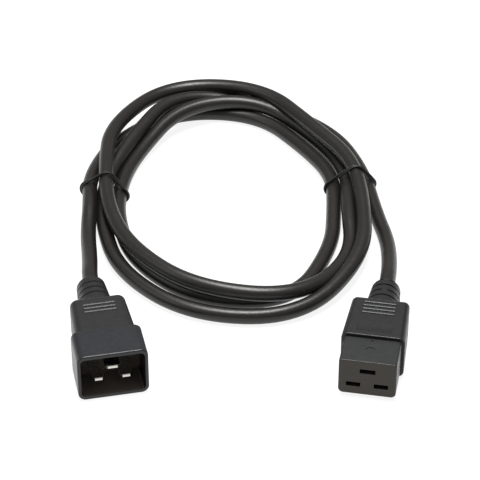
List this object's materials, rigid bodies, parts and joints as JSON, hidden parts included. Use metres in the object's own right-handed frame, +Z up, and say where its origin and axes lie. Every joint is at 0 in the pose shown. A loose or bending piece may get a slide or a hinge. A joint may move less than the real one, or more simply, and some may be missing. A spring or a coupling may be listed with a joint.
{
  "type": "c19 power connector on a coiled cord",
  "caption": "Straight black line socket for high-current equipment inlets, moulded on a coiled, tied round power cord that ends in a shrouded male plug.",
  "frame": {"origin": "centre of the underside of the C19 connector, taken over its whole length with the strain relief, as it lies flat", "axes": "-Y out of the mating face, +Y towards the cord, +Z up, earth slot uppermost"},
  "size_m": [0.2158, 0.3149, 0.029],
  "materials": {
    "pvc_grip": "fine satin moulded pvc",
    "carrier_plastic": "satin moulded hard plastic",
    "shroud_plastic": "satin moulded hard plastic",
    "cord_jacket": "smooth satin flexible pvc",
    "tie_elastic": "thin dull elastic",
    "blade_nickel": "bright nickel plate",
    "contact_brass": "rolled sheet",
    "copper": "drawn strand",
    "core_line": "smooth brown insulation",
    "core_neutral": "smooth blue insulation",
    "core_earth": "smooth green and yellow insulation"
  },
  "bodies": {
    "root": {"c19_overmould": "pvc_grip", "c19_carrier": "carrier_plastic", "c19_cap": "carrier_plastic", "c19_contact_line": "contact_brass", "c19_core_line": "core_line", "c19_wire_line": "copper", "c19_contact_neutral": "contact_brass", "c19_core_neutral": "core_neutral", "c19_wire_neutral": "copper", "c19_contact_earth": "contact_brass", "c19_core_earth": "core_earth", "c19_wire_earth": "copper", "c20_overmould": "pvc_grip", "c20_shroud": "shroud_plastic", "c20_blade_line": "blade_nickel", "c20_core_line": "core_line", "c20_wire_line": "copper", "c20_blade_neutral": "blade_nickel", "c20_core_neutral": "core_neutral", "c20_wire_neutral": "copper", "c20_blade_earth": "blade_nickel", "c20_core_earth": "core_earth", "c20_wire_earth": "copper", "cord_coil": "cord_jacket", "cord_lead_c19": "cord_jacket", "cord_lead_c20": "cord_jacket", "tie_left": "tie_elastic", "tie_right": "tie_elastic"}
  },
  "joints": []
}
